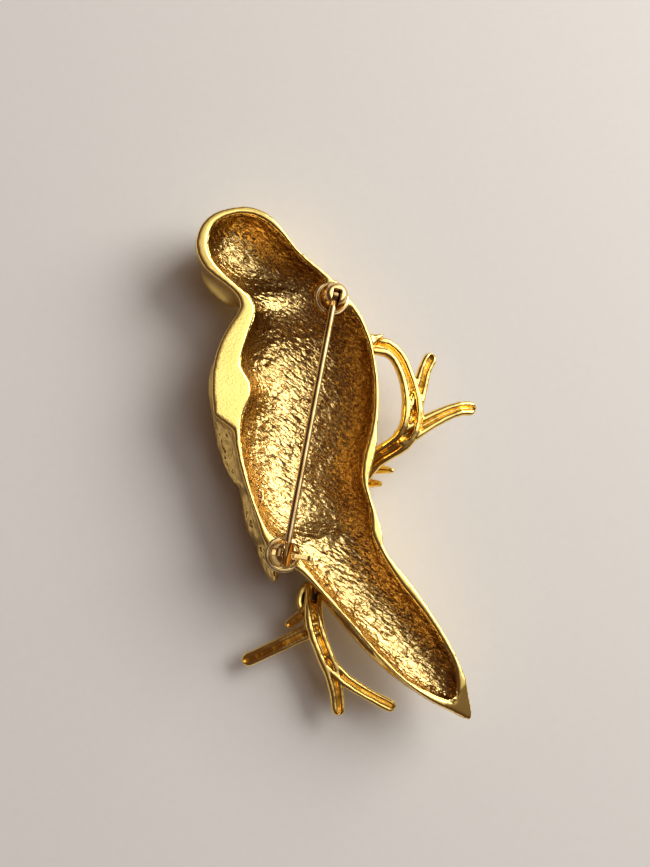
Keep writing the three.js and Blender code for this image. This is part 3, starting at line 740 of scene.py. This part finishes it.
make_bird()
make_branch()
make_dish("hinge_patch", "hinge_dish", HINGE_LIP)
make_dish("catch_patch", "catch_dish", CATCH_LIP)
make_solder("hinge_patch", "hinge_solder", 2.0)
make_solder("catch_patch", "catch_solder", 5.0)
soft_copy("hinge_knuckle", "hinge_cheeks", finding_gold, "casting", 5)
soft_copy("hinge_rivet", "hinge_pin", wire_gold, "casting", 2,
          swell=RIVET_SWELL)
soft_copy("catch_housing", "catch_ball", finding_gold, "casting", 5)
soft_copy("catch_rotor", "catch_lock", finding_gold, "lock", 3, 0.06)
soft_copy("pin_stem", "brooch_stem", wire_gold, "pin", 4, 0.08)
soft_copy("eye_stone", "glass_eye", eye_glass, "casting", 3)
soft_copy("leaf_stone", "leaf_marquise", leaf_glass, "casting", 2)

# ---------- Floor, light and camera ----------

CENTRE = (Vector(cad_bounds[0]) + Vector(cad_bounds[1])) / 2
FLOOR_LEVEL = cad_bounds[0][2] - FLOOR_GAP


def make_floor():
    size = 1.2
    mesh = mesh_from("floor", [(x * size / MM, y * size / MM, FLOOR_LEVEL / MM)
                               for x, y in ((-1, -1), (1, -1), (1, 1), (-1, 1))], [(0, 1, 2, 3)])
    floor = new_object("floor", mesh, floor_material("paper_floor"), smooth=False)


def direction(azimuth, elevation):
    """A unit vector from the object, azimuth 0 towards -Y and elevation above the floor."""
    a, e = math.radians(azimuth), math.radians(elevation)
    return Vector((math.sin(a) * math.cos(e), -math.cos(a) * math.cos(e), math.sin(e)))


def softbox(name, azimuth, elevation, distance, width, height, power, colour=(1, 1, 1)):
    data = bpy.data.lights.new(name, "AREA")
    data.shape = "RECTANGLE"
    data.size = width
    data.size_y = height
    data.energy = power
    data.color = colour
    light = bpy.data.objects.new(name, data)
    bpy.context.scene.collection.objects.link(light)
    towards = direction(azimuth, elevation)
    light.location = CENTRE + towards * distance
    light.rotation_euler = towards.to_track_quat("Z", "Y").to_euler()


def make_world():
    world = bpy.data.worlds.new("studio")
    world.use_nodes = True
    tree = world.node_tree
    background = tree.nodes["Background"]
    where = tree.nodes.new("ShaderNodeTexCoord").outputs["Generated"]
    split = tree.nodes.new("ShaderNodeSeparateXYZ")
    tree.links.new(where, split.inputs[0])
    tilt = math_node(tree, "ADD", math_node(tree, "MULTIPLY", split.outputs["X"], 0.30),
                     math_node(tree, "MULTIPLY", split.outputs["Y"], 0.18))
    height = math_node(tree, "ADD", math_node(tree, "MULTIPLY", split.outputs["Z"], 0.45), tilt)
    shade = ramp(tree, height, [(0.0, (0.11, 0.062, 0.052)), (0.30, (0.12, 0.068, 0.056)),
                                (0.43, (0.30, 0.25, 0.22)), (0.52, (1.05, 1.02, 0.97))])
    tree.links.new(shade, background.inputs["Color"])
    background.inputs["Strength"].default_value = 0.8
    bpy.context.scene.world = world


def make_camera():
    back = direction(VIEW_AZIMUTH, VIEW_ELEVATION)
    aim = Vector((CENTRE.x, CENTRE.y, RIM * MM)) + VIEW_OFFSET * MM
    up = Vector((0, 1, 0))
    up = (up - back * up.dot(back)).normalized()
    right = up.cross(back)
    data = bpy.data.cameras.new("camera")
    data.lens = 50
    data.sensor_fit = "VERTICAL"
    data.sensor_height = 36
    data.clip_start = 0.005
    data.clip_end = 20
    camera = bpy.data.objects.new("camera", data)
    bpy.context.scene.collection.objects.link(camera)
    placing = Matrix((right, up, back)).transposed().to_4x4()
    placing.translation = aim + back * VIEW_DISTANCE * MM
    camera.matrix_world = placing
    bpy.context.scene.camera = camera


make_floor()
make_world()
softbox("key", 122, 38, 0.55, 0.42, 0.40, 2.6, (1.0, 0.97, 0.90))
softbox("top", 120, 74, 0.6, 0.22, 0.22, 0.12)
make_camera()
bpy.context.scene.view_settings.view_transform = "Standard"
